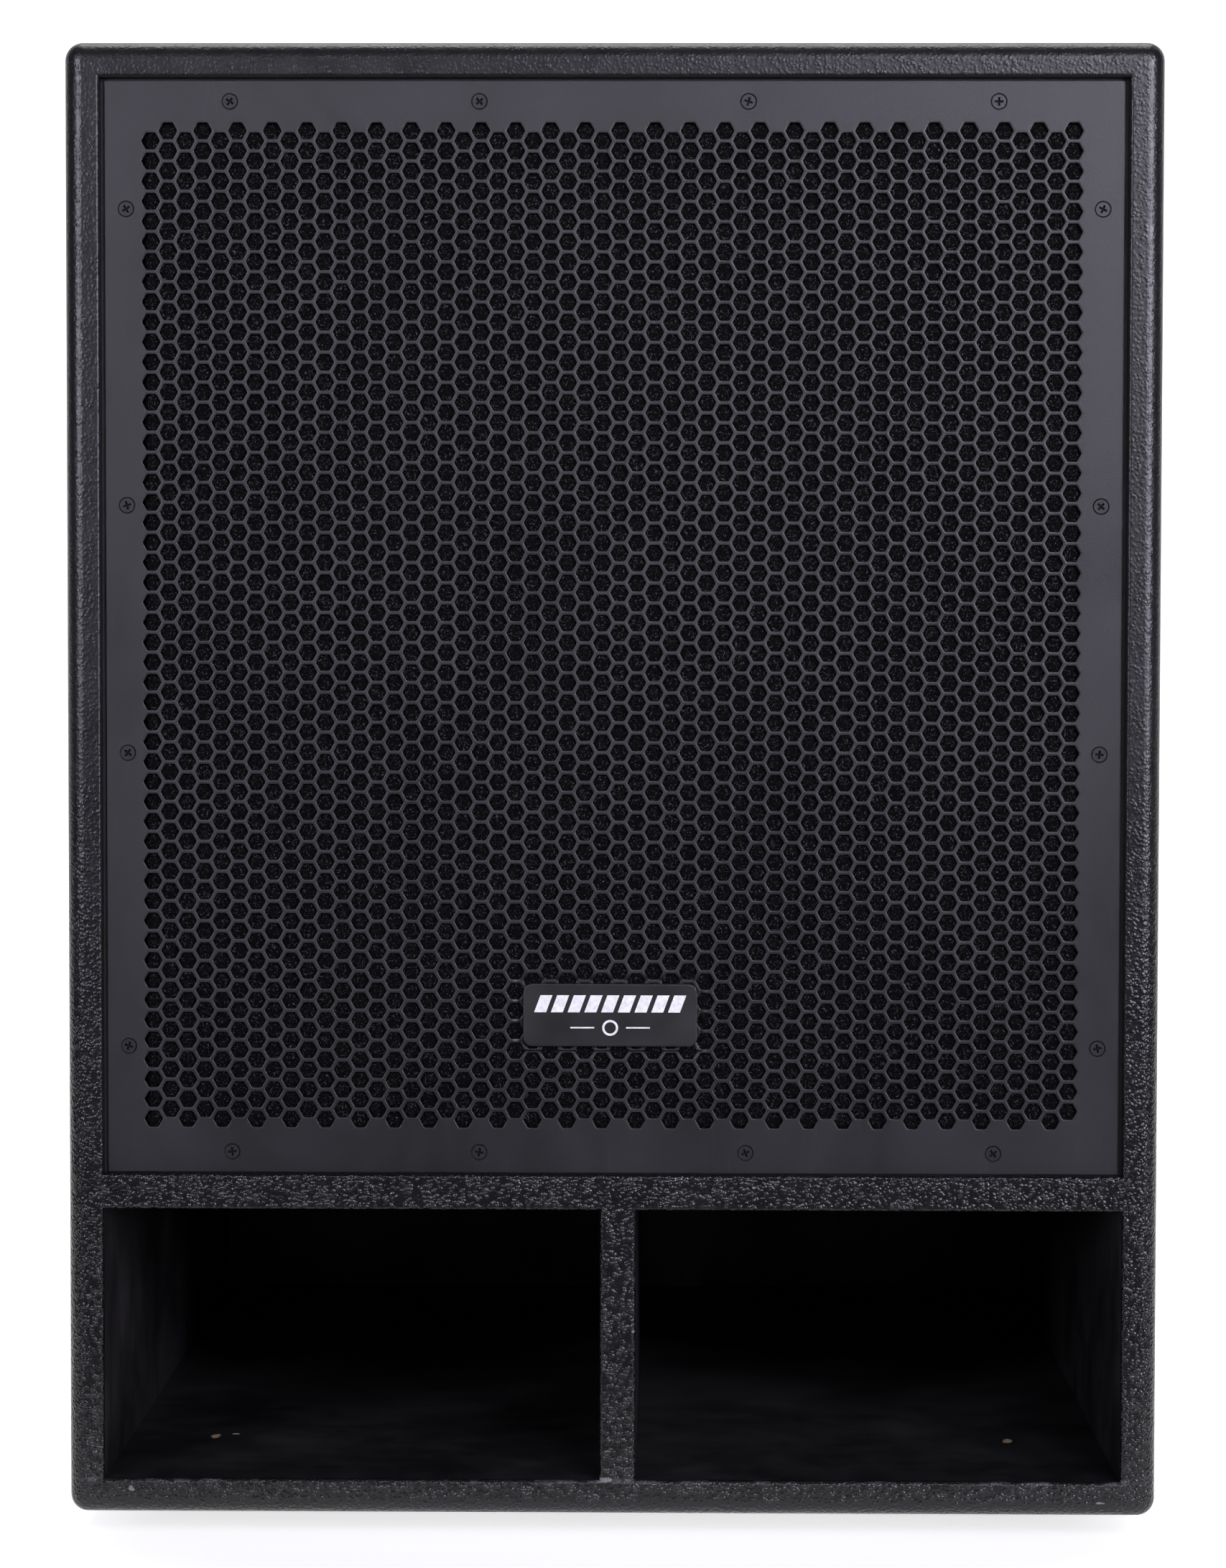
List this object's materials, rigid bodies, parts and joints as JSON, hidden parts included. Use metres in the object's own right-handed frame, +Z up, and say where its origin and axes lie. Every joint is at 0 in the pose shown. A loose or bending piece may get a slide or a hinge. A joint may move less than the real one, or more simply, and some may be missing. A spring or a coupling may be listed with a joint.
{
  "type": "bass-reflex subwoofer cabinet",
  "caption": "Plywood bass-reflex subwoofer with a perforated steel grille over its woofer, slot ports below, side handles, a pole socket and rubber feet.",
  "frame": {"origin": "on the floor, under the middle of the cabinet", "axes": "+Z up; -Y out of the grille towards the listener, +Y to the rear; +X to the right as the grille is faced"},
  "size_m": [0.554, 0.6, 0.754],
  "materials": {
    "textured_coating": "black textured coating over plywood, semi-gloss",
    "black_plywood": "plywood under thin black paint, matte",
    "bare_plywood": "bare birch plywood",
    "powder_coated_steel": "black powder coating, satin",
    "acoustic_foam": "open-cell black foam",
    "black_steel": "black-zinc fasteners, satin",
    "name_plate": null,
    "cast_aluminium": "die-cast, black paint",
    "black_rubber": "matte",
    "zinc_steel": "zinc plated",
    "ferrite": "sintered ferrite, matte",
    "coil_former": "polyimide film",
    "copper_wire": "enamelled copper",
    "spider_cloth": "resin-treated cloth",
    "cone_paper": "black paper pulp, matte",
    "surround_cloth": "treated cloth, half-rolls",
    "black_plastic": "moulded, satin",
    "brass_contact": "plated contact",
    "red_insulation": "PVC insulation",
    "black_insulation": "PVC insulation",
    "wadding": "polyester wadding"
  },
  "bodies": {
    "cabinet": {"side_panel_left": "textured_coating", "side_panel_right": "textured_coating", "top_panel": "textured_coating", "bottom_panel": "textured_coating", "rear_panel": "textured_coating", "port_shelf": "textured_coating", "port_divider": "textured_coating", "front_baffle": "black_plywood", "cross_brace": "bare_plywood", "grille_batten_left": "black_plywood", "grille_batten_right": "black_plywood", "grille_batten_top": "black_plywood", "grille_batten_bottom": "black_plywood", "grille_sheet": "powder_coated_steel", "grille_foam": "acoustic_foam", "grille_screws": "black_steel", "badge": "name_plate", "woofer_basket": "cast_aluminium", "woofer_gasket": "black_rubber", "woofer_seal": "black_rubber", "woofer_top_plate": "zinc_steel", "woofer_magnet": "ferrite", "woofer_back_plate": "zinc_steel", "woofer_terminal_block": "black_plastic", "woofer_terminal_posts": "brass_contact", "woofer_bolts": "black_steel", "tee_nuts": "zinc_steel", "connector_plate": "powder_coated_steel", "connector_plate_gasket": "black_rubber", "connector_plate_screws": "black_steel", "speaker_socket_left": "black_plastic", "speaker_socket_right": "black_plastic", "socket_contacts": "brass_contact", "socket_screws": "black_steel", "speaker_wire_positive": "red_insulation", "speaker_wire_negative": "black_insulation", "wire_clip": "black_plastic", "side_handle_left": "black_plastic", "side_handle_right": "black_plastic", "handle_screws": "black_steel", "pole_socket": "powder_coated_steel", "pole_socket_screws": "black_steel", "foot_front_left": "black_rubber", "foot_front_right": "black_rubber", "foot_rear_left": "black_rubber", "foot_rear_right": "black_rubber", "foot_screws": "zinc_steel", "foot_washers": "zinc_steel", "lining_left": "wadding", "lining_right": "wadding", "lining_top": "wadding", "lining_rear": "wadding"},
    "cone_assembly": {"woofer_cone": "cone_paper", "woofer_dust_cap": "cone_paper", "voice_coil_former": "coil_former", "voice_coil_winding": "copper_wire", "woofer_surround": "surround_cloth", "woofer_spider": "spider_cloth", "woofer_lead_braids": "copper_wire"}
  },
  "joints": [
    {"name": "cone_travel", "type": "slide", "parent": "cabinet", "child": "cone_assembly", "axis": [0, -1, 0], "range_m": [-0.01, 0.01], "stiffness_N_per_m": 8000, "deforming": ["woofer_surround", "woofer_spider", "woofer_lead_braids"]}
  ]
}
